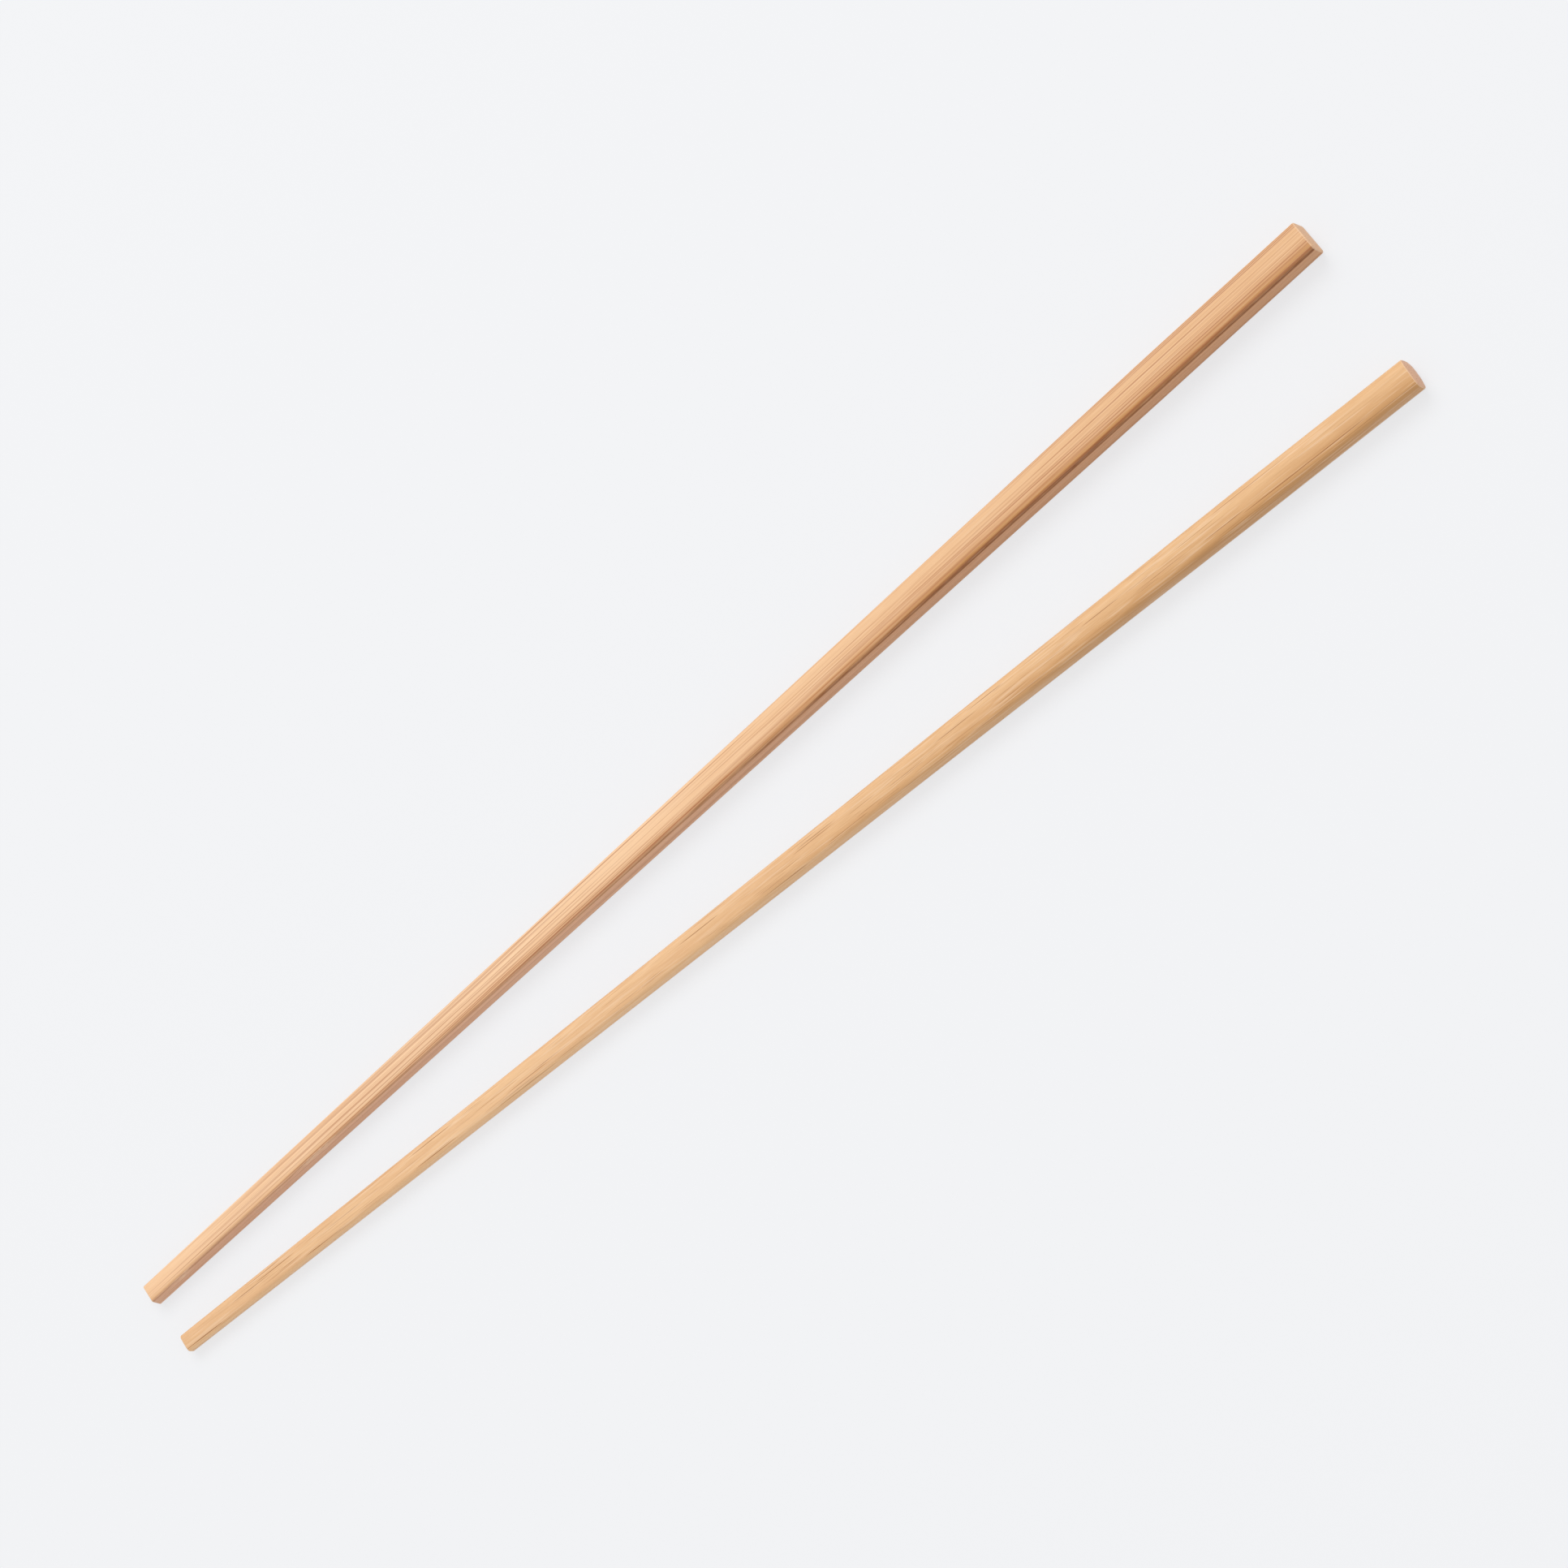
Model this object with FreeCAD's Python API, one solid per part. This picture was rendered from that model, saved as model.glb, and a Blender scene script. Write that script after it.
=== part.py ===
import FreeCAD, Part

import math
import os
from dataclasses import dataclass

# A pair of squared chopsticks lying on a flat surface, the way two sticks come to rest:
# tips side by side, grips spread. Each stick tapers to its tip and keeps one size at its grip.
# Millimetres. +X runs from the tips to the grips along the middle of the pair, +Y points to
# the upper stick, +Z points up, and the origin is on the surface under the middle of the pair.

# Sizes that the two sticks share
STICK_LENGTH = 240.0
PARALLEL_LENGTH = 32.0  # stretch at the grip end that keeps its full section
GRIP_END_BEVEL = 0.3
TIP_END_BEVEL = 0.2

# Spread of the pair, from the middle of one stick's end to the middle of the other's
TIP_SPACING = 9.3
GRIP_SPACING = 26.1

# Upper stick: its grain turns a little towards the tip, which lifts its inner edge
UPPER_GRIP_SIDE = 5.4
UPPER_TIP_SIDE = 3.05
UPPER_GRIP_CORNER_RADIUS = 0.7
UPPER_TIP_CORNER_RADIUS = 0.4
UPPER_TIP_TURN = -7.0  # degrees about the stick's own line, between the grip and the tip
UPPER_TIP_SLANT = 4.0  # degrees that the end cut is out of square, inner and outer edge apart

# Lower stick: its long edges are sanded rounder
LOWER_GRIP_SIDE = 5.1
LOWER_TIP_SIDE = 2.9
LOWER_GRIP_CORNER_RADIUS = 1.25
LOWER_TIP_CORNER_RADIUS = 0.7
LOWER_TIP_TURN = 3.0
LOWER_TIP_SLANT = 4.0


@dataclass
class Section:
    """Rounded square across a stick, turned about the stick's line, its lowest point at z = 0."""

    side: float
    corner_radius: float
    turn: float = 0.0

    def middle_height(self):
        """Height of the square's middle when its lowest point touches the surface."""
        half_flat = self.side / 2 - self.corner_radius
        turn = math.radians(abs(self.turn))
        return half_flat * (math.cos(turn) + math.sin(turn)) + self.corner_radius

    def wire(self, x, slant=0.0, inset=0.0):
        """Closed wire at distance x from the tip: four corner arcs and four flats.

        slant turns the cut out of square, seen from above, in degrees. inset draws the
        whole outline in on every side, as a bevelled end needs.
        """
        size = 1 - 2 * inset / self.side
        half_flat = (self.side / 2 - self.corner_radius) * size
        radius = self.corner_radius * size
        turn = FreeCAD.Rotation(FreeCAD.Vector(1, 0, 0), self.turn)
        middle = FreeCAD.Vector(x, 0, self.middle_height())

        def on_cut(y, z):
            point = middle + turn.multVec(FreeCAD.Vector(0, y, z))
            point.x += point.y * math.tan(math.radians(slant))
            return point

        arcs = []
        for quarter, (y_sign, z_sign) in enumerate(((1, 1), (-1, 1), (-1, -1), (1, -1))):
            angles = [math.radians(90 * quarter + step) for step in (0, 45, 90)]
            arcs.append([
                on_cut(y_sign * half_flat + radius * math.cos(angle),
                       z_sign * half_flat + radius * math.sin(angle))
                for angle in angles
            ])
        edges = []
        for points, next_points in zip(arcs, arcs[1:] + arcs[:1]):
            edges.append(Part.Arc(*points).toShape())
            edges.append(Part.LineSegment(points[-1], next_points[0]).toShape())
        return Part.Wire(edges)


@dataclass
class Chopstick:
    """One stick, built along +X from its tip at x = 0 and lying on z = 0."""

    grip_side: float
    tip_side: float
    grip_corner_radius: float
    tip_corner_radius: float
    tip_turn: float
    tip_slant: float

    def solid(self):
        """One closed solid: a ruled taper, a straight stretch and a bevel round both ends."""
        tip = Section(self.tip_side, self.tip_corner_radius, self.tip_turn)
        grip = Section(self.grip_side, self.grip_corner_radius)
        tip_end = tip.wire(0, self.tip_slant, TIP_END_BEVEL)
        tip_full = tip.wire(TIP_END_BEVEL, self.tip_slant)
        taper_end = grip.wire(STICK_LENGTH - PARALLEL_LENGTH)
        taper = Part.makeLoft([tip_end, tip_full, taper_end], True, True)
        straight = Part.Face(taper_end).extrude(FreeCAD.Vector(PARALLEL_LENGTH, 0, 0))
        grip_end = max(straight.Faces, key=lambda face: face.CenterOfMass.x)
        straight = straight.makeChamfer(GRIP_END_BEVEL, grip_end.Edges)
        return taper.fuse(straight).removeSplitter()


def spread(solid, side):
    """Turns a stick about its tip and moves it to its side of the pair: side is 1 or -1."""
    half_angle = math.degrees(math.asin((GRIP_SPACING - TIP_SPACING) / 2 / STICK_LENGTH))
    placed = solid.copy()
    placed.rotate(FreeCAD.Vector(0, 0, 0), FreeCAD.Vector(0, 0, 1), side * half_angle)
    placed.translate(FreeCAD.Vector(0, side * TIP_SPACING / 2, 0))
    return placed


def pair():
    """Both sticks by name, moved so that the origin is under the middle of the pair."""
    upper = Chopstick(
        grip_side=UPPER_GRIP_SIDE,
        tip_side=UPPER_TIP_SIDE,
        grip_corner_radius=UPPER_GRIP_CORNER_RADIUS,
        tip_corner_radius=UPPER_TIP_CORNER_RADIUS,
        tip_turn=UPPER_TIP_TURN,
        tip_slant=UPPER_TIP_SLANT,
    )
    lower = Chopstick(
        grip_side=LOWER_GRIP_SIDE,
        tip_side=LOWER_TIP_SIDE,
        grip_corner_radius=LOWER_GRIP_CORNER_RADIUS,
        tip_corner_radius=LOWER_TIP_CORNER_RADIUS,
        tip_turn=LOWER_TIP_TURN,
        tip_slant=LOWER_TIP_SLANT,
    )
    sticks = {
        "upper_chopstick": spread(upper.solid(), 1),
        "lower_chopstick": spread(lower.solid(), -1),
    }
    box = Part.makeCompound(list(sticks.values())).optimalBoundingBox(False, False)
    for solid in sticks.values():
        solid.translate(FreeCAD.Vector(-box.Center.x, -box.Center.y, -box.ZMin))
    return sticks


os.makedirs("parts", exist_ok=True)
for name, solid in pair().items():
    solid.exportStep("parts/" + name + ".step")
    print(name, "volume", round(solid.Volume, 2), "closed", solid.isClosed(), "valid", solid.isValid())
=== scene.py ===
import logging
import math
from collections.abc import Callable
from dataclasses import dataclass
from enum import Enum
from functools import partial, reduce

import bmesh
import bpy
from mathutils import Matrix, Vector


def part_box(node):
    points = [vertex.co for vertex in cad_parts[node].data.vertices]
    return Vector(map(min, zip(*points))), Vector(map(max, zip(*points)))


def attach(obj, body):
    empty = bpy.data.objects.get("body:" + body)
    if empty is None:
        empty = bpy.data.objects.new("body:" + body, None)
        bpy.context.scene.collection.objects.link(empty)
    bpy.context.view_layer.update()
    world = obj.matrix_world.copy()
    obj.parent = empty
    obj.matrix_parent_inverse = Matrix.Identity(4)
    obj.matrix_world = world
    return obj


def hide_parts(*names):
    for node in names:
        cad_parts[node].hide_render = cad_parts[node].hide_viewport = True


# The pair of squared bamboo chopsticks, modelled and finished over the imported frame.
# Sizes of the sticks are in millimetres from a stick's own tip; the studio is in metres.

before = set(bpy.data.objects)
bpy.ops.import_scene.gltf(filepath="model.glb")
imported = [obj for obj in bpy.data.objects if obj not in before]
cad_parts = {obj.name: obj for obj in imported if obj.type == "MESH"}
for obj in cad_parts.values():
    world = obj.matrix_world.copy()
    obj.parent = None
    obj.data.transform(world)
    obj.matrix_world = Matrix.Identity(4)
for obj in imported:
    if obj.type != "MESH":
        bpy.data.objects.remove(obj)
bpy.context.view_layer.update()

log = logging.getLogger("chopsticks")

MM = 0.001
BODY = "root"

# Spread of the pair, as the CAD model has it
TIP_SPACING = 9.3
GRIP_SPACING = 26.1

# Stretch of a stick over which its tones change from the tip's to the grip's
TIP_TONES_END = 50.0
GRIP_TONES_START = 205.0

Color = tuple[float, float, float, float]
Range = tuple[float, float]  # two limits, or a value at the tip and one at the grip
Socket = bpy.types.NodeSocket
Layer = tuple[Socket, Color | Socket]  # where a layer of a finish shows, and its colour

BLACK: Color = (0.0, 0.0, 0.0, 1.0)
WHITE: Color = (1.0, 1.0, 1.0, 1.0)


def paint(red: float, green: float, blue: float) -> Color:
    """Turns a screen colour, 0 to 255, into the light values that a shader reads."""

    def linear(value: float) -> float:
        """One channel from screen value to light."""
        share = value / 255
        return share / 12.92 if share <= 0.04045 else ((share + 0.055) / 1.055) ** 2.4

    return (linear(red), linear(green), linear(blue), 1.0)


def select_only(piece: bpy.types.Object) -> None:
    """Makes a piece the active and the only selected one."""
    bpy.ops.object.select_all(action="DESELECT")
    bpy.context.view_layer.objects.active = piece
    piece.select_set(True)


class End(Enum):
    """The two ends of a stick, by the way that the end's face looks along the stick."""

    TIP = -1
    GRIP = 1


class Side(Enum):
    """The two sticks, by the side of the pair's middle line that each lies on."""

    LOWER = -1
    UPPER = 1


class Streak(Enum):
    """The kinds of soft streak on the wood, each with its width and its run; the flecks are painted
    glints.
    """

    FIBRES = (0.07, 3.5)
    LAYERS = (0.12, 40.0)
    FLECKS = (0.3, 12.0)
    TONES = (0.9, 38.0)


class EditMode:
    """A mesh in edit mode, whose faces, edges and points are picked by place for an operator."""

    def __init__(self, piece: bpy.types.Object) -> None:
        """Keeps the piece that is to be edited."""
        self.piece = piece

    def __enter__(self) -> "EditMode":
        """Selects the piece alone and opens it."""
        select_only(self.piece)
        bpy.ops.object.mode_set(mode="EDIT")
        return self

    def __exit__(self, *error: object) -> None:
        """Closes the piece."""
        bpy.ops.object.mode_set(mode="OBJECT")

    def _cleared(self, kind: str) -> bmesh.types.BMesh:
        """Deselects all, sets what is picked next and opens the mesh."""
        bpy.ops.mesh.select_mode(type=kind)
        bpy.ops.mesh.select_all(action="DESELECT")
        return bmesh.from_edit_mesh(self.piece.data)

    def pick_edges(self, wanted: Callable[[bmesh.types.BMEdge], bool]) -> None:
        """Selects the edges that pass a test, and nothing else.

        Args:
            wanted: Says whether an edge is picked.
        """
        mesh = self._cleared("EDGE")
        for edge in mesh.edges:
            if wanted(edge):
                edge.select = True
        mesh.select_flush_mode()
        bmesh.update_edit_mesh(self.piece.data)

    def pick_points(self, wanted: Callable[[Vector], bool]) -> None:
        """Selects the points whose place passes a test, and nothing else.

        Args:
            wanted: Says whether a point at that place is picked.
        """
        mesh = self._cleared("VERT")
        for point in mesh.verts:
            point.select = wanted(point.co)
        mesh.select_flush_mode()
        bmesh.update_edit_mesh(self.piece.data)

    def pick_end(self, end: End) -> Vector:
        """Selects the face that closes one end.

        Args:
            end: The end to pick.

        Returns:
            The middle of that face.
        """
        mesh = self._cleared("FACE")
        closing = max(mesh.faces, key=lambda face: end.value * face.calc_center_median().x)
        closing.select = True
        middle = closing.calc_center_median()
        bmesh.update_edit_mesh(self.piece.data)
        return middle


@dataclass(frozen=True)
class Nick:
    """A small bruise on a stick's ridge, where the edge is pressed in and shows pale."""

    place: float  # from the tip
    length: float
    depth: float
    reach: float = 0.45  # how far from the ridge points are pressed in
    give: float = 0.8  # how far around them the wood gives way
    across_limit: float = -0.8  # the pale mark keeps to the ridge's side of these two
    up_limit: float = 0.25

    def mark(self, x: float, across: float, up: float) -> float:
        """How pale a point is pressed.

        Args:
            x: Its distance from the tip.
            across: Its place across the section, -1 to 1.
            up: Its place up the section, -1 to 1.

        Returns:
            1 in the middle of the nick, 0 outside it.
        """
        if across > self.across_limit or up < self.up_limit:
            return 0.0
        return max(0.0, 1 - (abs(x - self.place) * 2 / self.length) ** 2)


@dataclass(frozen=True)
class Relief:
    """Unevenness that planing and the fibres leave on a face, drawn out along the stick."""

    depth: float
    width: float
    run: float


@dataclass
class Chopstick:
    """One stick: a squared bar that tapers to its tip, with rounded edges and eased ends."""

    name: str
    node: str
    side: Side
    tip_side: float
    tip_turn: float  # degrees about the stick's own line
    edge_sharpness: float  # 0.5 is round, 1 is square
    length: float = 240.0
    parallel_length: float = 32.0
    edge_share: float = 44.0  # percent of a face's width that rounds towards each edge
    edge_steps: int = 14
    tip_slant: float = 4.0  # degrees that the tip's cut is out of square
    tip_corner: float = 0.115  # radius that the turned tip rests on, as a share of its side
    tip_bevel: float = 0.2
    grip_bevel: float = 0.3
    cad_bevel: float = 0.3  # the grip's bevel in the CAD model, which sets its box
    bevel_steps: int = 4
    bevel_sharpness: float = 0.5
    tip_dome: float = 0.05
    grip_dome: float = 0.12
    ring_spacing: float = 0.8
    end_rings: int = 4
    through_share: float = 0.9  # part of a stretch that its long edges span at least
    smooth_angle: float = 50.0  # degrees up to which an edge is shaded smooth
    relief: Relief = Relief(depth=0.04, width=3.2, run=60.0)
    nicks: tuple[Nick, ...] = ()

    def __post_init__(self) -> None:
        """Takes the stick's size and place from its node in the frame."""
        low, high = (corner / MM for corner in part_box(self.node))
        self.grip_side = high.z
        self.taper_end = self.length - self.parallel_length
        self.half_angle = math.asin((GRIP_SPACING - TIP_SPACING) / 2 / self.length)
        half = self.grip_side / 2
        along = self.length * math.cos(self.half_angle)
        along += (half - self.cad_bevel) * math.sin(self.half_angle)
        across = (self.length - self.cad_bevel) * math.sin(self.half_angle)
        across += half * math.cos(self.half_angle)
        outer = high.y if self.side is Side.UPPER else low.y
        self.tip = Vector((high.x - along, outer - self.side.value * across, 0))
        self.yaw = self.side.value * self.half_angle
        turn = math.radians(abs(self.tip_turn))
        corner = self.tip_side * self.tip_corner
        half_flat = self.tip_side / 2 - corner
        self.tip_height = half_flat * (math.cos(turn) + math.sin(turn)) + corner

    def build(self) -> bpy.types.Object:
        """Models the stick.

        Returns:
            The finished piece, in place, riding on the pair's body.
        """
        piece = self._bar()
        self._round_edges(piece)
        self._turn_tip(piece)
        self._ease_end(piece, End.TIP, self.tip_bevel, self.tip_dome)
        self._ease_end(piece, End.GRIP, self.grip_bevel, self.grip_dome)
        self._divide(piece)
        self._press_nicks(piece)
        self._mark_section(piece)
        self._roughen(piece)
        self._place(piece)
        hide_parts(self.node)
        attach(piece, BODY)
        log.info("%s: %d faces", piece.name, len(piece.data.polygons))
        return piece

    def _bar(self) -> bpy.types.Object:
        """Adds a block for the taper, draws its tip in and extrudes the stretch with one size.

        Returns:
            The bar, with square edges and ends, in the stick's own frame.
        """
        bpy.ops.object.select_all(action="DESELECT")
        bpy.ops.mesh.primitive_cube_add(
            size=1,
            location=(self.taper_end / 2 * MM, 0, self.grip_side / 2 * MM),
            scale=(self.taper_end * MM, self.grip_side * MM, self.grip_side * MM),
        )
        piece = bpy.context.object
        piece.name = self.name
        piece.data.name = self.name
        bpy.ops.object.transform_apply(location=True, rotation=True, scale=True)
        with EditMode(piece) as edit:
            edit.pick_end(End.GRIP)
            reach = {"value": (self.parallel_length * MM, 0, 0)}
            bpy.ops.mesh.extrude_region_move(TRANSFORM_OT_translate=reach)
            middle = edit.pick_end(End.TIP)
            share = self.tip_side / self.grip_side
            bpy.ops.transform.resize(value=(1, share, share), center_override=middle)
            drop = self.tip_height * MM - middle.z
            bpy.ops.transform.translate(value=(0, 0, drop))
        return piece

    def _round_edges(self, piece: bpy.types.Object) -> None:
        """Rounds the four long edges, which crowns the faces between them a little.

        Args:
            piece: The square bar.
        """
        with EditMode(piece) as edit:
            edit.pick_edges(lambda edge: abs(edge.verts[0].co.x - edge.verts[1].co.x) > MM)
            bpy.ops.mesh.bevel(
                offset_type="PERCENT",
                offset_pct=self.edge_share,
                segments=self.edge_steps,
                profile=self.edge_sharpness,
                affect="EDGES",
            )

    def _turn_tip(self, piece: bpy.types.Object) -> None:
        """Turns the tip about the stick's line, and its cut out of square.

        Args:
            piece: The bar with rounded edges.
        """
        with EditMode(piece) as edit:
            middle = edit.pick_end(End.TIP)
            # With no window, a rotation turns the other way
            bpy.ops.transform.rotate(
                value=-math.radians(self.tip_turn), orient_axis="X", center_override=middle
            )
            bpy.ops.transform.rotate(
                value=math.radians(self.tip_slant), orient_axis="Z", center_override=middle
            )

    def _ease_end(self, piece: bpy.types.Object, end: End, bevel: float, dome: float) -> None:
        """Bevels the rim of an end and raises its face in rings to a shallow dome.

        Args:
            piece: The bar.
            end: The end to ease.
            bevel: Width of the bevel.
            dome: How far the middle of the face stands out past its rim.
        """
        outwards = Vector((end.value * MM, 0, 0))
        with EditMode(piece) as edit:
            edit.pick_end(end)
            bpy.ops.transform.translate(value=-outwards * dome)
            bpy.ops.mesh.region_to_loop()
            bpy.ops.mesh.bevel(
                offset=bevel * MM,
                segments=self.bevel_steps,
                profile=self.bevel_sharpness,
                affect="EDGES",
            )
            middle = edit.pick_end(end)
            for ring in range(self.end_rings, 0, -1):
                inner, outer = (rings / (self.end_rings + 1) for rings in (ring, ring + 1))
                bpy.ops.mesh.extrude_region_move()
                bpy.ops.transform.resize(value=(1, inner / outer, inner / outer), center_override=middle)
                bpy.ops.transform.translate(value=outwards * dome * (outer**2 - inner**2))

    def _divide(self, piece: bpy.types.Object) -> None:
        """Divides the long faces into rings, close enough for their relief.

        Args:
            piece: The bar with eased ends.
        """
        stretches = ((0, self.taper_end * MM), (self.taper_end * MM, self.length * MM))
        with EditMode(piece) as edit:
            for start, stop in stretches:
                reach = stop - start

                def runs_through(edge: bmesh.types.BMEdge) -> bool:
                    """Whether the edge runs the whole of this stretch."""
                    near, far = sorted(point.co.x for point in edge.verts)
                    inside = near > start - MM and far < stop + MM
                    return inside and far - near > reach * self.through_share

                edit.pick_edges(runs_through)
                bpy.ops.mesh.subdivide(number_cuts=round(reach / MM / self.ring_spacing) - 1)

    def _press_nicks(self, piece: bpy.types.Object) -> None:
        """Presses each nick into the ridge, the upper edge on the -Y side.

        Args:
            piece: The divided bar.
        """
        with EditMode(piece) as edit:
            for nick in self.nicks:
                half = self._half_side(nick.place)
                top = self._middle_height(nick.place) + half

                def on_ridge(place: Vector) -> bool:
                    """Whether a point lies on the ridge inside the nick."""
                    x, y, z = place / MM
                    inside = abs(x - nick.place) < nick.length / 2
                    return inside and y < nick.reach - half and z > top - nick.reach

                edit.pick_points(on_ridge)
                bpy.ops.transform.translate(
                    value=(0, nick.depth * MM, -nick.depth * MM),
                    use_proportional_edit=True,
                    use_proportional_connected=True,
                    proportional_edit_falloff="SMOOTH",
                    proportional_size=nick.give * MM,
                )

    def _half_side(self, x: float) -> float:
        """Half the section's side at distance x from the tip."""
        share = min(x / self.taper_end, 1)
        return (self.tip_side + (self.grip_side - self.tip_side) * share) / 2

    def _middle_height(self, x: float) -> float:
        """Height of the section's middle at distance x from the tip."""
        share = min(x / self.taper_end, 1)
        return self.tip_height + (self.grip_side / 2 - self.tip_height) * share

    def _mark_section(self, piece: bpy.types.Object) -> None:
        """Stores where each point lies on the stick, for patterns that follow the edges and nicks.

        The attribute "section" holds -1 to 1 across, -1 to 1 up, and how squarely the surface
        faces along the stick, 0 on the long faces to 1 on the cut ends. The attribute "pressed" is
        1 in the middle of a nick and 0 outside.

        Args:
            piece: The divided bar.
        """
        places = [self._in_section(point.co / MM) for point in piece.data.vertices]
        pressed = [max((nick.mark(*place) for nick in self.nicks), default=0.0) for place in places]
        endwise = [abs(point.normal.x) for point in piece.data.vertices]
        sections = [
            value
            for (_, across, up), facing in zip(places, endwise)
            for value in (across, up, facing)
        ]
        section_marks = piece.data.attributes.new("section", "FLOAT_VECTOR", "POINT")
        section_marks.data.foreach_set("vector", sections)
        nick_marks = piece.data.attributes.new("pressed", "FLOAT", "POINT")
        nick_marks.data.foreach_set("value", pressed)

    def _in_section(self, place: Vector) -> Vector:
        """Turns a place on the stick into its distance from the tip and its share of the section.

        Args:
            place: The place in the stick's own frame.

        Returns:
            The distance from the tip, -1 to 1 across and -1 to 1 up.
        """
        x, y, z = place
        share = max(0, 1 - x / self.taper_end)
        turn = Matrix.Rotation(-math.radians(self.tip_turn) * share, 2)
        across, up = turn @ Vector((y, z - self._middle_height(x))) / self._half_side(x)
        return Vector((x, across, up))

    def _roughen(self, piece: bpy.types.Object) -> None:
        """Sinks the relief's streaks into the faces, never outwards.

        Args:
            piece: The bar.
        """
        relief = self.relief
        stretcher = bpy.data.objects.new("stretcher", None)
        bpy.context.collection.objects.link(stretcher)
        stretcher.scale = (relief.run * MM, relief.width * MM, relief.width * MM)
        stretcher.location = (self.side.value * relief.run * MM, 0, 0)
        bpy.context.view_layer.update()
        streaks = bpy.data.textures.new("streaks", "CLOUDS")
        streaks.noise_scale = 1.0
        streaks.noise_depth = 1
        sink = piece.modifiers.new("relief", "DISPLACE")
        sink.texture = streaks
        sink.texture_coords = "OBJECT"
        sink.texture_coords_object = stretcher
        sink.strength = relief.depth * MM
        sink.mid_level = 1.0
        bpy.context.view_layer.objects.active = piece
        bpy.ops.object.modifier_apply(modifier=sink.name)
        bpy.data.objects.remove(stretcher)
        bpy.data.textures.remove(streaks)

    def _place(self, piece: bpy.types.Object) -> None:
        """Shades the stick smooth and moves its mesh to its place in the pair."""
        select_only(piece)
        bpy.ops.object.shade_smooth_by_angle(angle=math.radians(self.smooth_angle))
        piece.location = self.tip * MM
        piece.rotation_euler.z = self.yaw
        bpy.ops.object.transform_apply(location=True, rotation=True, scale=True)


class NodeTree:
    """A shader tree with short ways to add nodes and join their sockets."""

    def __init__(self, tree: bpy.types.NodeTree) -> None:
        """Keeps the tree."""
        self.tree = tree

    def add(self, kind: str, label: str = "", **settings: object) -> bpy.types.Node:
        """Adds a node.

        Args:
            kind: Blender's name of the node type, without "ShaderNode".
            label: What the node is for.
            settings: Properties of the node, by name.

        Returns:
            The node.
        """
        node = self.tree.nodes.new("ShaderNode" + kind)
        node.label = label
        for name, value in settings.items():
            setattr(node, name, value)
        return node

    def set(self, socket: Socket, value: object) -> None:
        """Gives a socket a link, where the value is another socket, or else a plain value.

        Args:
            socket: The input.
            value: An output socket, a number, a vector or a colour.
        """
        if isinstance(value, Socket):
            self.tree.links.new(value, socket)
        else:
            socket.default_value = value

    def feed(self, node: bpy.types.Node, *values: object) -> Socket:
        """Gives a node's first inputs their values, in order, and returns its first output."""
        for socket, value in zip(node.inputs, values):
            self.set(socket, value)
        return node.outputs[0]

    def math(self, operation: str, *values: object) -> Socket:
        """Adds a Math node for these values and returns its result."""
        return self.feed(self.add("Math", operation=operation), *values)

    def vector(self, operation: str, *values: object) -> Socket:
        """Adds a Vector Math node for these values and returns its vector."""
        return self.feed(self.add("VectorMath", operation=operation), *values)

    def product(self, *factors: object) -> Socket:
        """Multiplies numbers or sockets with one another."""
        return reduce(partial(self.math, "MULTIPLY"), factors)

    def total(self, *terms: object) -> Socket:
        """Adds numbers or sockets up."""
        return reduce(partial(self.math, "ADD"), terms)

    def split(self, place: Socket) -> bpy.types.NodeOutputs:
        """Splits a vector into its X, Y and Z."""
        node = self.add("SeparateXYZ")
        self.set(node.inputs[0], place)
        return node.outputs

    def ramp(
        self,
        value: Socket,
        limits: tuple[object, object] = (0.0, 1.0),
        results: tuple[object, object] = (0.0, 1.0),
    ) -> Socket:
        """Adds a smooth Map Range node.

        Args:
            value: What is mapped.
            limits: The values that give the first and the second result.
            results: The two results.

        Returns:
            The mapped value.
        """
        node = self.add("MapRange", interpolation_type="SMOOTHSTEP")
        return self.feed(node, value, *limits, *results)

    def mix(self, share: object, first: object, second: object) -> Socket:
        """Adds a Mix node that shows a share of the second colour on the first."""
        node = self.add("Mix", data_type="RGBA")
        self.set(node.inputs[0], share)
        self.set(node.inputs[6], first)
        self.set(node.inputs[7], second)
        return node.outputs[2]

    def stretch(self, place: Socket, run: object, width: object) -> Socket:
        """Scales a place so that one unit of a pattern has this run and width, in millimetres."""
        return self.vector("DIVIDE", place, self.feed(self.add("CombineXYZ"), run, width, width))

    def noise(self, label: str, place: Socket, detail: float = 2.0) -> bpy.types.NodeOutputs:
        """Adds a Noise node.

        Args:
            label: What the noise is for.
            place: Where it is read, in units of its own size.
            detail: How many finer layers it has.

        Returns:
            Its outputs, "Fac" and "Color".
        """
        node = self.add("TexNoise", label, noise_dimensions="3D")
        self.set(node.inputs["Vector"], place)
        node.inputs["Scale"].default_value = 1.0
        node.inputs["Detail"].default_value = detail
        return node.outputs


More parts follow.
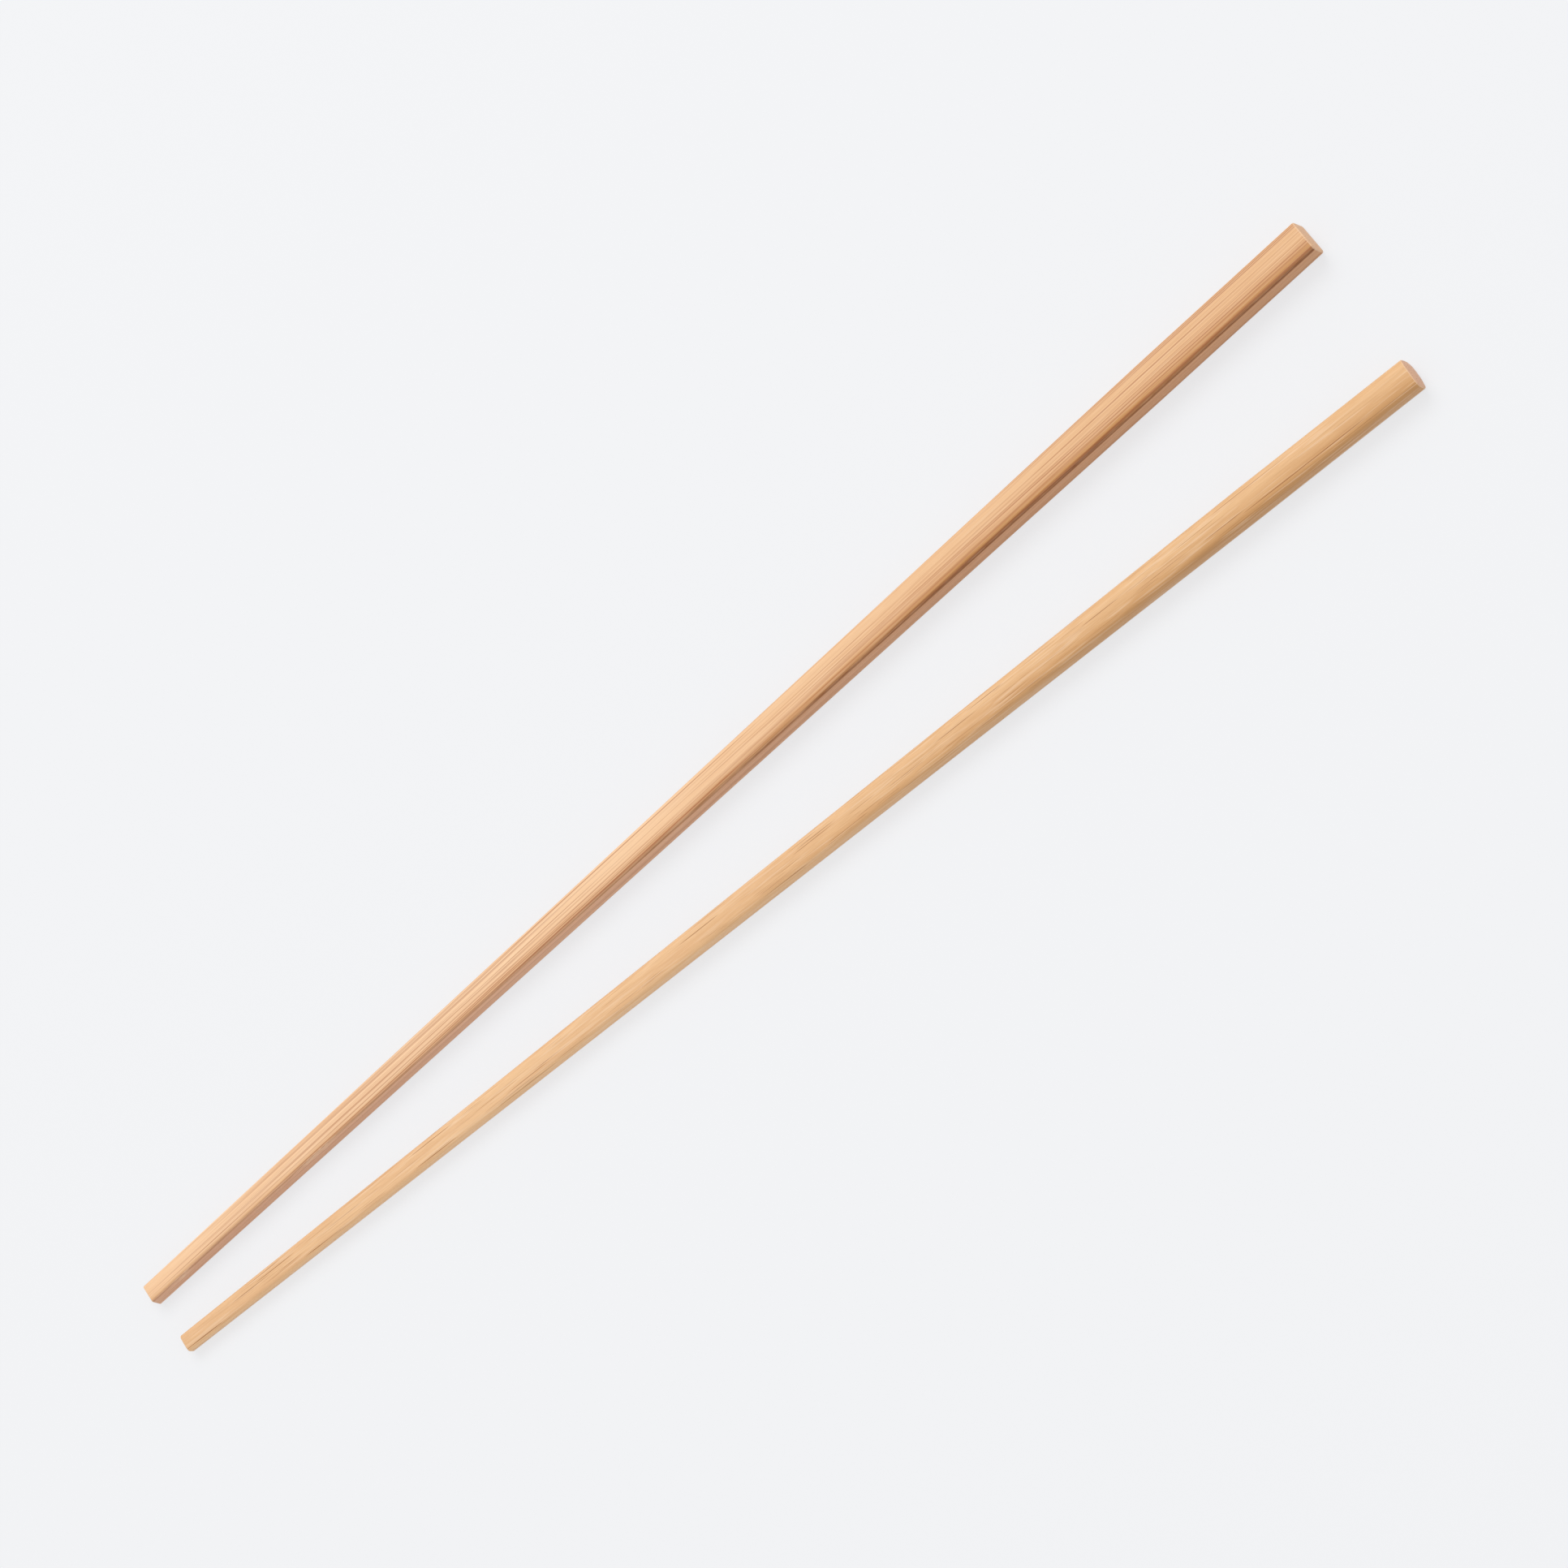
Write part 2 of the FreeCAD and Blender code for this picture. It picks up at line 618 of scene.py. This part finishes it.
class NodeGroup(NodeTree):
    """A shader node group with named inputs and outputs, built once."""

    name = ""
    inputs: dict[str, object] = {}
    outputs: tuple[str, ...] = ()

    def __init__(self) -> None:
        """Makes the group, its sockets and its nodes."""
        group = bpy.data.node_groups.new(self.name, "ShaderNodeTree")
        super().__init__(group)
        for name, value in self.inputs.items():
            kind = "NodeSocketFloat" if isinstance(value, float) else "NodeSocketVector"
            socket = group.interface.new_socket(name, in_out="INPUT", socket_type=kind)
            socket.default_value = value
        for name in self.outputs:
            group.interface.new_socket(name, in_out="OUTPUT", socket_type="NodeSocketFloat")
        self.given = group.nodes.new("NodeGroupInput").outputs
        self.result = group.nodes.new("NodeGroupOutput").inputs
        self.fill()

    def fill(self) -> None:
        """Adds the group's nodes."""
        raise NotImplementedError

    def use(self, tree: NodeTree, **values: object) -> bpy.types.NodeOutputs:
        """Places the group in a material.

        Args:
            tree: The material's tree.
            values: Inputs by name, in small letters.

        Returns:
            The group node's outputs, by name.
        """
        node = tree.add("Group", self.name, node_tree=self.tree)
        for name, value in values.items():
            tree.set(node.inputs[name.capitalize()], value)
        return node.outputs


class FibreLines(NodeGroup):
    """Dark fibre bundles: long rods in the wood, which show as lines where a face cuts them."""

    name = "Fibre Lines"
    inputs = {
        "Place": (0.0, 0.0, 0.0),
        "Section": (0.0, 0.0, 0.0),
        "Depth": 1.0,
        "Spacing": 0.35,
        "Thickness": 0.4,
        "Share": 1.0,
        "Waver": 0.2,
        "Run": 30.0,
    }
    outputs = ("Lines",)

    wander = (50.0, 3.0)  # run and width of the slow sideways wander
    scatter = 0.85  # how far the bundles stand from an even grid, 0 to 1
    full_core = 0.7  # part of a bundle's radius that is fully dark
    share_edge = 0.08  # over how much of the share a bundle fades out
    bundle_tones = (0.35, 1.0)  # the faintest and the strongest bundle
    fading_width = 4.0
    fading_apart = (40.0, 40.0, 40.0)  # moves each bundle to a pattern of its own
    fading_limits = (0.34, 0.56)
    fading_tones = (0.25, 1.0)  # a bundle's faintest and strongest stretches

    def fill(self) -> None:
        """Cells across the stick, each with a dark core that fades in and out along its run."""
        place, spacing, thickness = (self.given[name] for name in ("Place", "Spacing", "Thickness"))
        drift = self.noise("slow sideways wander", self.stretch(place, *self.wander))
        centred = self.vector("SUBTRACT", drift["Color"], (0.5, 0.5, 0.5))
        shift = self.vector("MULTIPLY", centred, self.product(self.given["Waver"], 2.0))
        _, across, up = self.split(self.vector("ADD", place, shift))

        def in_bundles(width: Socket, height: Socket) -> Socket:
            """The place across the stick in units of a bundle's width and height."""
            shares = (self.math("DIVIDE", across, width), self.math("DIVIDE", up, height))
            return self.feed(self.add("CombineXYZ"), *shares)

        deep = self.product(spacing, self.given["Depth"])
        sideways, upwards = (self.math("ABSOLUTE", part) for part in self.split(self.given["Section"])[:2])
        face = self.add("Mix", "bundles drawn out inwards from each face", data_type="VECTOR")
        self.set(face.inputs[0], self.math("GREATER_THAN", sideways, upwards))
        self.set(face.inputs[4], in_bundles(spacing, deep))
        self.set(face.inputs[5], in_bundles(deep, spacing))
        cells = self.add("TexVoronoi", "bundles", voronoi_dimensions="2D", feature="F1")
        self.set(cells.inputs["Vector"], face.outputs[1])
        cells.inputs["Scale"].default_value = 1.0
        cells.inputs["Randomness"].default_value = self.scatter
        limits = (self.product(thickness, self.full_core), thickness)
        core = self.ramp(cells.outputs["Distance"], limits, (1.0, 0.0))
        own = cells.outputs["Color"]
        chance, tone, _ = self.split(own)
        left = self.math("SUBTRACT", self.given["Share"], chance)
        shown = self.ramp(left, (0.0, self.share_edge))
        strength = self.ramp(tone, results=self.bundle_tones)
        along = self.stretch(place, self.given["Run"], self.fading_width)
        moved = self.vector("ADD", along, self.vector("MULTIPLY", own, self.fading_apart))
        fading = self.noise("faint and strong stretches", moved)
        faded = self.ramp(fading["Fac"], self.fading_limits, self.fading_tones)
        self.set(self.result["Lines"], self.product(shown, strength, faded, core))


class Streaks(NodeGroup):
    """Soft streaks along the stick: fine fibres when narrow, slow changes of tone when wide."""

    name = "Streaks"
    inputs = {"Place": (0.0, 0.0, 0.0), "Width": 0.1, "Run": 8.0}
    outputs = ("Tone",)

    limits = (0.28, 0.72)  # nearly all of the noise lies between these

    def fill(self) -> None:
        """Noise drawn out along the stick, spread to the whole of 0 to 1."""
        place = self.stretch(self.given["Place"], self.given["Run"], self.given["Width"])
        noise = self.noise("streaks", place)
        self.set(self.result["Tone"], self.ramp(noise["Fac"], self.limits))


class EdgeWearAndPaintedLight(NodeGroup):
    """Masks for the worn long edges, and on the front of a stick for painted shade at and above the ridge,
    painted light on the flank and a painted sheen on its foot, by the place across its section.
    """

    name = "Edge Wear And Painted Light"
    inputs = {"Section": (0.0, 0.0, 0.0), "Place": (0.0, 0.0, 0.0)}
    outputs = ("Edge", "Ridge", "Band", "Flank", "Foot")

    # Where each mask is 0 and where it is 1, as the place across or up the section
    edge_limits = (0.84, 0.95)
    ridge_limits = (0.68, 0.9)
    front_limits = (0.0, -0.5)
    top_limits = (0.0, 0.5)
    band_front_limits = (-0.3, -0.75)
    band_top_limits = (0.7, 0.9)
    flank_limits = (-0.72, -0.96)
    foot_limits = (-0.15, -0.55)

    break_up = (2.5, 0.4)  # run and width of the gaps in the worn edges
    break_up_limits = (0.35, 0.65)

    def fill(self) -> None:
        """The smaller of the two places across the section is near 1 only at a corner."""
        across, up, _ = self.split(self.given["Section"])
        nearness = self.math("MINIMUM", self.math("ABSOLUTE", across), self.math("ABSOLUTE", up))
        noise = self.noise("break-up", self.stretch(self.given["Place"], *self.break_up), 3.0)
        flank_light = self.ramp(across, self.flank_limits)
        factors = {
            "Edge": (self.ramp(nearness, self.edge_limits), self.ramp(noise["Fac"], self.break_up_limits)),
            "Ridge": (
                self.ramp(across, self.front_limits),
                self.ramp(up, self.top_limits),
                self.ramp(nearness, self.ridge_limits),
            ),
            "Band": (self.ramp(across, self.band_front_limits), self.ramp(up, self.band_top_limits)),
            "Flank": (flank_light,),
            "Foot": (flank_light, self.ramp(up, self.foot_limits)),
        }
        for name, masks in factors.items():
            self.set(self.result[name], self.product(*masks))


@dataclass(frozen=True)
class Bundles:
    """One kind of fibre bundle and how it shows."""

    spacing: float
    thickness: float  # radius, as a share of the spacing
    depth: float  # how much deeper than wide a bundle is, seen from a face
    share_inside: Range  # bundles that are dark on the pale side, at the tip and the grip
    share_at_skin: float  # the same towards the skin side
    waver: float
    run: float
    strength: Range  # on the pale side and towards the skin side


@dataclass(frozen=True)
class BambooFinish:
    """Bare bamboo, smoothed with sandpaper, with its own pattern of fibre bundles and some painted shade,
    light, glints and sheen.

    Each strength that has two values holds the one at the tip and the one at the grip.
    """

    slot: str
    pale: Color
    warm: Color
    line: Color
    # Denser wood towards the bamboo's outer rind, which is also the side away from the lamp; its growth
    # towards the grip is painted shade as well
    skin: Color
    # Pale sanded wood on worn edges, nicks and end rims; the same colour paints the glints between the
    # fibres and a painted sheen along the lower stick's foot
    sanded_and_sheen: Color
    cut: Color  # end grain
    band_wood_and_shade: Color  # strip above the ridge: denser wood, darkened further as painted shade where the face rounds over to the ridge
    ridge: Color  # the ridge: denser wood, with painted shade where the edge turns away from the lamp
    flank_light: Color  # painted light on the side below the ridge: a pink painted reflection on the upper stick, a painted lift of the shade on the lower one
    grip: Color  # the whole stick towards its grip
    skin_start: float  # how far across the stick the denser wood and its painted shade start, in millimetres
    skin_depth: float  # over how many millimetres it then grows to its full strength
    skin_and_shade_strength: Range
    grain_tilt: Range  # degrees that the fibres run off the stick's line, sideways and upwards
    coarse: Bundles
    fine: Bundles
    fibre_strength: float
    glint_fleck_strength: float  # painted glints: pale streaks between the fibres
    band_wood_and_shade_strength: Range
    ridge_wood_and_shade_strength: Range
    flank_light_strength: Range
    foot_sheen_strength: Range
    grip_strength: float
    wear_strength: float
    flank_lines: float = 0.6  # share of the lines' strength that the flank keeps
    skin_turn: float = 180.0  # degrees about the stick's line from +Y to the side of the skin

    def material(self, stick: Chopstick, groups: dict[str, NodeGroup]) -> bpy.types.Material:
        """Makes the finish for one stick.

        Args:
            stick: The stick, whose line the grain follows.
            groups: The shared patterns by name.

        Returns:
            The material.
        """
        material = bpy.data.materials.new(self.slot)
        material.use_nodes = True
        BambooTree(material.node_tree, self, stick, groups).fill()
        return material


class BambooTree(NodeTree):
    """The nodes that show a bamboo finish on one stick."""

    layer_tones = (0.5, 1.0)  # how far the band and the ridge are layered along their run
    glint_fleck_limits = (0.55, 0.95)
    grit = (1.2, 0.14)  # run and width of the roughed fibres in a nick
    grit_limits = (0.4, 0.6)
    grit_tones = (0.1, 0.8)
    end_bundles = {"spacing": 0.36, "thickness": 0.3, "waver": 0.0}
    end_share = 0.9  # bundles that show on a cut end
    end_dot_strength = 0.45
    end_limits = (0.5, 0.85)  # how squarely the surface faces along the stick
    end_strength = 0.9
    rim_rise = (0.1, 0.4)
    rim_fall = (0.85, 0.6)
    rim_strength = 0.45
    roughness = (0.5, 0.62)  # between the fibres and on them
    specular = 0.35
    groove_shares = (0.8, 0.5, 0.35)  # of the coarse lines, the fine lines and the fibres
    groove_strength = 0.5
    groove_depth = 0.03

    def __init__(
        self,
        tree: bpy.types.NodeTree,
        finish: BambooFinish,
        stick: Chopstick,
        groups: dict[str, NodeGroup],
    ) -> None:
        """Adds the places and masks that the layers of the finish share.

        Args:
            tree: The material's own tree.
            finish: The finish.
            stick: The stick, whose line the grain follows.
            groups: The shared patterns by name.
        """
        super().__init__(tree)
        self.finish = finish
        self.groups = groups
        self.place = self._place(stick)
        self.along = self.split(self.place)[0]
        self.grain = self._grain()
        section = self.add("Attribute", "place across the section", attribute_name="section")
        self.section = section.outputs["Vector"]
        self.skin = self._skin()
        self.wear_and_painted_light = groups["wear_and_painted_light"].use(self, section=self.section, place=self.place)

    def fill(self) -> None:
        """Joins the wood's colour, gloss and grooves to the shader."""
        finish = self.finish
        coarse, fine = (self._lines(kind) for kind in (finish.coarse, finish.fine))
        fibres = self._streaks(Streak.FIBRES)
        color = self.mix(self._streaks(Streak.TONES), finish.pale, finish.warm)
        for share, layer in self._layers(coarse, fine, fibres) + self._end_layers():
            color = self.mix(share, color, layer)
        shader = self.tree.nodes["Principled BSDF"]
        self.set(shader.inputs["Base Color"], color)
        self.set(shader.inputs["Roughness"], self.ramp(fibres, results=self.roughness))
        shader.inputs["Specular IOR Level"].default_value = self.specular
        self.set(shader.inputs["Normal"], self._grooves(coarse, fine, fibres))

    def _place(self, stick: Chopstick) -> Socket:
        """Millimetres in the stick's own frame, X along the stick from its tip."""
        here = self.add("TexCoord").outputs["Object"]
        turned = self.add("Mapping", "from the tip, along the stick", vector_type="TEXTURE")
        return self.feed(turned, here, stick.tip * MM, (0, 0, stick.yaw), (MM, MM, MM))

    def _grain(self) -> Socket:
        """The place, turned so that its X follows the fibres."""
        sideways, upwards = (math.radians(angle) for angle in self.finish.grain_tilt)
        turned = self.add("Mapping", "along the fibres")
        return self.feed(turned, self.place, (0, 0, 0), (0, -upwards, sideways))

    def _skin(self) -> Socket:
        """How near the bamboo's outer rind was: 0 on the pale side, 1 where the wood is densest; that side
        faces away from the lamp, and its layer also paints shade towards the grip.
        """
        turn = math.radians(self.finish.skin_turn)
        outwards = self.add("VectorMath", "towards the skin side", operation="DOT_PRODUCT")
        self.feed(outwards, self.place, (0, math.cos(turn), math.sin(turn)))
        start = self.finish.skin_start
        return self.ramp(outwards.outputs["Value"], (start, start + self.finish.skin_depth))

    def _gripwards(self, strengths: Range) -> Socket:
        """Blends from the strength at the tip to the one at the grip."""
        return self.ramp(self.along, (TIP_TONES_END, GRIP_TONES_START), strengths)

    def _streaks(self, kind: Streak) -> Socket:
        """The tone of one kind of streak, 0 to 1."""
        width, run = kind.value
        return self.groups["streaks"].use(self, place=self.grain, width=width, run=run)["Tone"]

    def _bundles(self, share: object, **sizes: float) -> Socket:
        """Where bundles show, by the share of dark ones and the pattern's other inputs."""
        pattern = self.groups["lines"]
        return pattern.use(self, place=self.grain, section=self.section, share=share, **sizes)["Lines"]

    def _lines(self, kind: Bundles) -> Socket:
        """How strongly one kind of bundle shows, which depends on the side and the stretch.

        Args:
            kind: The kind of bundle.

        Returns:
            0 between the bundles to 1 on the darkest ones.
        """
        share = self.ramp(self.skin, results=(self._gripwards(kind.share_inside), kind.share_at_skin))
        pattern = self._bundles(
            share,
            depth=kind.depth,
            spacing=kind.spacing,
            thickness=kind.thickness,
            waver=kind.waver,
            run=kind.run,
        )
        strength = self.ramp(self.skin, results=kind.strength)
        calm = self.ramp(self.wear_and_painted_light["Flank"], results=(1.0, self.finish.flank_lines))
        return self.product(strength, calm, pattern)

    def _layers(self, coarse: Socket, fine: Socket, fibres: Socket) -> list[Layer]:
        """Lists the layers on the long faces, from the lowest up.

        Args:
            coarse: The coarse lines.
            fine: The fine lines.
            fibres: The fine fibres.

        Returns:
            Where each layer shows, and its colour.
        """
        finish, wear_and_painted_light = self.finish, self.wear_and_painted_light
        layered = self.ramp(self._streaks(Streak.LAYERS), results=self.layer_tones)
        glint_flecks = self.ramp(self._streaks(Streak.FLECKS), self.glint_fleck_limits, (0.0, finish.glint_fleck_strength))
        return [
            (self._gripwards((0.0, finish.grip_strength)), finish.grip),
            # Denser wood towards the rind, with painted shade on that side, the one away from the lamp,
            # growing towards the grip
            (self.product(self.skin, self._gripwards(finish.skin_and_shade_strength)), finish.skin),
            # Painted light on the flank: a pink painted reflection on the upper stick, a painted lift of
            # the shade on the lower one
            (self.product(wear_and_painted_light["Flank"], self._gripwards(finish.flank_light_strength)), finish.flank_light),
            # Painted sheen along the foot of the flank
            (self.product(wear_and_painted_light["Foot"], self._gripwards(finish.foot_sheen_strength)), finish.sanded_and_sheen),
            # Denser wood above the ridge, with painted shade where the face rounds over
            (self.product(wear_and_painted_light["Band"], self._gripwards(finish.band_wood_and_shade_strength), layered), finish.band_wood_and_shade),
            (self.product(fibres, finish.fibre_strength), finish.line),
            # Painted glints: pale flecks between the fibres
            (glint_flecks, finish.sanded_and_sheen),
            (coarse, finish.line),
            (fine, finish.line),
            # Denser wood at the ridge, with painted shade where it turns away from the lamp
            (self.product(wear_and_painted_light["Ridge"], self._gripwards(finish.ridge_wood_and_shade_strength), layered), finish.ridge),
            (self.product(wear_and_painted_light["Edge"], finish.wear_strength), finish.sanded_and_sheen),
            (self._bruises(), finish.sanded_and_sheen),
        ]

    def _bruises(self) -> Socket:
        """Where the wood is pressed pale in a nick, broken up by roughed fibres."""
        pressed = self.add("Attribute", "pressed nicks", attribute_name="pressed")
        noise = self.noise("roughed fibres", self.stretch(self.place, *self.grit), 3.0)
        return self.product(
            pressed.outputs["Fac"], self.ramp(noise["Fac"], self.grit_limits, self.grit_tones)
        )

    def _end_layers(self) -> list[Layer]:
        """Lists duller wood on the two cut ends, dotted with bundles, and a pale rim round it."""
        finish = self.finish
        endwise = self.split(self.section)[2]
        dots = self.product(self._bundles(self.end_share, **self.end_bundles), self.end_dot_strength)
        cut = self.ramp(endwise, self.end_limits, (0.0, self.end_strength))
        rim = (self.ramp(endwise, limits) for limits in (self.rim_rise, self.rim_fall))
        return [
            (cut, self.mix(dots, finish.cut, finish.line)),
            (self.product(*rim, self.rim_strength), finish.sanded_and_sheen),
        ]

    def _grooves(self, *masks: Socket) -> Socket:
        """Sinks the coarse lines, the fine lines and the fibres a little into the surface."""
        depth = self.total(*(self.product(*pair) for pair in zip(masks, self.groove_shares)))
        bump = self.add("Bump", "grooves", invert=True)
        bump.inputs["Strength"].default_value = self.groove_strength
        bump.inputs["Distance"].default_value = self.groove_depth * MM
        self.set(bump.inputs["Height"], depth)
        return bump.outputs[0]


@dataclass
class Studio:
    """A pale floor, an even pale surround and one broad lamp from the upper stick's side."""

    surround_shown: Color = paint(246, 247, 248)
    floor: Color = paint(231, 232, 234)
    floor_shown: Color = paint(124, 124, 125)  # the part of the floor's tone that takes the shadow
    floor_glow: Color = paint(216, 217, 219)  # the part that doesn't
    floor_size: float = 12.0
    floor_roughness: float = 0.9
    surround: float = 0.66
    lamp_size: float = 1.1
    lamp_distance: float = 1.7
    lamp_height: float = 58.0  # degrees above the floor
    lamp_heading: float = 78.0  # degrees from +X towards +Y
    lamp_power: float = 13.5

    def build(self) -> None:
        """Makes the floor, the surround and the lamp."""
        self._floor()
        self._surround()
        self._lamp()
        bpy.context.scene.view_settings.view_transform = "Standard"
        log.info("studio: floor, surround and lamp")

    def _floor(self) -> None:
        """A plain matt floor that the sticks lie on."""
        bpy.ops.object.select_all(action="DESELECT")
        bpy.ops.mesh.primitive_plane_add(size=self.floor_size, location=(0, 0, 0))
        floor = bpy.context.object
        floor.name = "floor"
        material = bpy.data.materials.new("floor")
        material.use_nodes = True
        shader = material.node_tree.nodes["Principled BSDF"]
        tree = NodeTree(material.node_tree)
        seen = self._seen(tree)
        tree.set(shader.inputs["Base Color"], tree.mix(seen, self.floor, self.floor_shown))
        tree.set(shader.inputs["Emission Color"], tree.mix(seen, BLACK, self.floor_glow))
        shader.inputs["Emission Strength"].default_value = 1.0
        shader.inputs["Roughness"].default_value = self.floor_roughness
        shader.inputs["Specular IOR Level"].default_value = 0.0
        floor.data.materials.append(material)

    def _surround(self) -> None:
        """Even light from all round, which the camera sees in a tone of its own."""
        world = bpy.data.worlds.new("surround")
        world.use_nodes = True
        bpy.context.scene.world = world
        tree = NodeTree(world.node_tree)
        light = world.node_tree.nodes["Background"]
        light.inputs["Color"].default_value = WHITE
        light.inputs["Strength"].default_value = self.surround
        seen = tree.add("Background", "what the camera sees")
        seen.inputs["Color"].default_value = self.surround_shown
        choices = (self._seen(tree), light.outputs[0], seen.outputs[0])
        chosen = tree.feed(tree.add("MixShader"), *choices)
        tree.set(world.node_tree.nodes["World Output"].inputs["Surface"], chosen)

    def _seen(self, tree: NodeTree) -> Socket:
        """Whether a ray shows its surface to the camera: straight, in gloss or through glass.

        Args:
            tree: The tree of the floor or the surround.

        Returns:
            1 for such rays and 0 for the ones that only light the object.
        """
        path = tree.add("LightPath")
        shown = path.outputs["Is Camera Ray"]
        for other in ("Is Glossy Ray", "Is Transmission Ray"):
            shown = tree.math("MAXIMUM", shown, path.outputs[other])
        return shown

    def _lamp(self) -> None:
        """The broad lamp, aimed at the middle of the pair."""
        height = math.radians(self.lamp_height)
        heading = math.radians(self.lamp_heading)
        direction = Vector((
            math.cos(height) * math.cos(heading),
            math.cos(height) * math.sin(heading),
            math.sin(height),
        ))
        data = bpy.data.lights.new("key", "AREA")
        data.shape = "DISK"
        data.size = self.lamp_size
        data.energy = self.lamp_power
        lamp = bpy.data.objects.new("key", data)
        bpy.context.collection.objects.link(lamp)
        lamp.location = direction * self.lamp_distance
        lamp.rotation_euler = direction.to_track_quat("Z", "Y").to_euler()


@dataclass
class Viewpoint:
    """The camera, high above the pair and turned so that the sticks rise to the right."""

    aim: tuple[float, float, float] = (6.47, 1.96, 0.0)  # millimetres
    distance: float = 1.5
    lean_to_grips: float = 12.92  # degrees from straight above
    lean_to_near_side: float = 15.05
    roll: float = -37.02
    lens: float = 230.7
    sensor: float = 36.0
    clip: Range = (0.05, 50.0)

    def build(self) -> None:
        """Makes the scene's camera."""
        along = math.tan(math.radians(self.lean_to_grips))
        near = math.tan(math.radians(self.lean_to_near_side))
        back = Vector((along, -near, 1)).normalized()
        level_right = (-back).cross(Vector((0, 1, 0))).normalized()
        level_up = back.cross(level_right)
        roll = math.radians(self.roll)
        right = level_right * math.cos(roll) + level_up * math.sin(roll)
        up = level_up * math.cos(roll) - level_right * math.sin(roll)
        data = bpy.data.cameras.new("camera")
        data.lens = self.lens
        data.sensor_width = self.sensor
        data.clip_start, data.clip_end = self.clip
        camera = bpy.data.objects.new("camera", data)
        bpy.context.collection.objects.link(camera)
        turned = Matrix((right, up, back)).transposed().to_4x4()
        camera.matrix_world = Matrix.Translation(Vector(self.aim) * MM + back * self.distance) @ turned
        bpy.context.scene.camera = camera
        log.info("camera: %.2f m away", self.distance)


UPPER_FINISH = BambooFinish(
    slot="grained_bamboo",
    pale=paint(252, 212, 170),
    warm=paint(244, 199, 155),
    line=paint(164, 92, 54),
    skin=paint(204, 148, 96),
    sanded_and_sheen=paint(252, 222, 190),
    cut=paint(238, 190, 148),
    band_wood_and_shade=paint(190, 132, 66),
    ridge=paint(132, 76, 40),
    # A pink painted reflection on the side below the ridge
    flank_light=paint(232, 184, 156),
    grip=paint(234, 185, 135),
    skin_start=-0.6,
    skin_depth=3.2,
    skin_and_shade_strength=(0.1, 0.65),
    grain_tilt=(0.0, 0.0),
    coarse=Bundles(
        spacing=0.26,
        thickness=0.38,
        depth=6.0,
        share_inside=(1.0, 0.78),
        share_at_skin=1.0,
        waver=0.2,
        run=45.0,
        strength=(0.72, 0.95),
    ),
    fine=Bundles(
        spacing=0.17,
        thickness=0.42,
        depth=6.0,
        share_inside=(0.6, 0.6),
        share_at_skin=1.0,
        waver=0.15,
        run=25.0,
        strength=(0.35, 0.5),
    ),
    fibre_strength=0.08,
    glint_fleck_strength=0.12,
    band_wood_and_shade_strength=(0.45, 1.0),
    ridge_wood_and_shade_strength=(0.3, 1.0),
    flank_light_strength=(0.6, 0.1),
    foot_sheen_strength=(0.0, 0.0),
    grip_strength=0.75,
    wear_strength=0.15,
)

LOWER_FINISH = BambooFinish(
    slot="smooth_bamboo",
    pale=paint(244, 200, 152),
    warm=paint(234, 186, 138),
    line=paint(156, 98, 52),
    skin=paint(200, 146, 88),
    sanded_and_sheen=paint(250, 220, 188),
    cut=paint(230, 181, 148),
    band_wood_and_shade=paint(214, 162, 108),
    ridge=paint(156, 98, 52),
    # Painted light that lifts the shade on the side below the ridge
    flank_light=paint(254, 206, 154),
    grip=paint(232, 184, 128),
    skin_start=-1.4,
    skin_depth=3.6,
    skin_and_shade_strength=(0.0, 0.75),
    grain_tilt=(0.16, 0.3),
    coarse=Bundles(
        spacing=0.42,
        thickness=0.16,
        depth=1.0,
        share_inside=(0.8, 0.8),
        share_at_skin=0.9,
        waver=0.08,
        run=12.0,
        strength=(0.75, 1.0),
    ),
    fine=Bundles(
        spacing=0.22,
        thickness=0.2,
        depth=1.0,
        share_inside=(0.5, 0.5),
        share_at_skin=0.7,
        waver=0.08,
        run=7.0,
        strength=(0.4, 0.6),
    ),
    fibre_strength=0.16,
    glint_fleck_strength=0.28,
    band_wood_and_shade_strength=(0.0, 0.0),
    ridge_wood_and_shade_strength=(0.0, 0.1),
    flank_light_strength=(0.95, 0.0),
    foot_sheen_strength=(0.1, 0.5),
    grip_strength=0.4,
    wear_strength=0.2,
)


@dataclass
class ChopstickPair:
    """Both sticks with their finishes."""

    nicks: tuple[Nick, ...] = (
        Nick(place=6.0, length=4.0, depth=0.05),
        Nick(place=34.6, length=8.0, depth=0.07),
        Nick(place=102.0, length=0.8, depth=0.05),
    )

    def build(self) -> None:
        """Models and dresses the two sticks."""
        groups = {"lines": FibreLines(), "streaks": Streaks(), "wear_and_painted_light": EdgeWearAndPaintedLight()}
        upper = Chopstick(
            name="upper_stick",
            node="upper_chopstick",
            side=Side.UPPER,
            tip_side=3.05,
            tip_turn=-7.0,
            edge_sharpness=0.85,
            nicks=self.nicks,
        )
        lower = Chopstick(
            name="lower_stick",
            node="lower_chopstick",
            side=Side.LOWER,
            tip_side=2.9,
            tip_turn=3.0,
            edge_sharpness=0.69,
            grip_bevel=0.22,
            grip_dome=0.4,
        )
        for stick, finish in ((upper, UPPER_FINISH), (lower, LOWER_FINISH)):
            piece = stick.build()
            piece.data.materials.clear()
            piece.data.materials.append(finish.material(stick, groups))
            log.info("%s: finished in %s", piece.name, finish.slot)


def main() -> None:
    """Builds the camera, the studio and the pair, in that order."""
    logging.basicConfig(level=logging.INFO, format="%(name)s: %(message)s")
    Viewpoint().build()
    Studio().build()
    ChopstickPair().build()


if __name__ == "__main__":
    main()
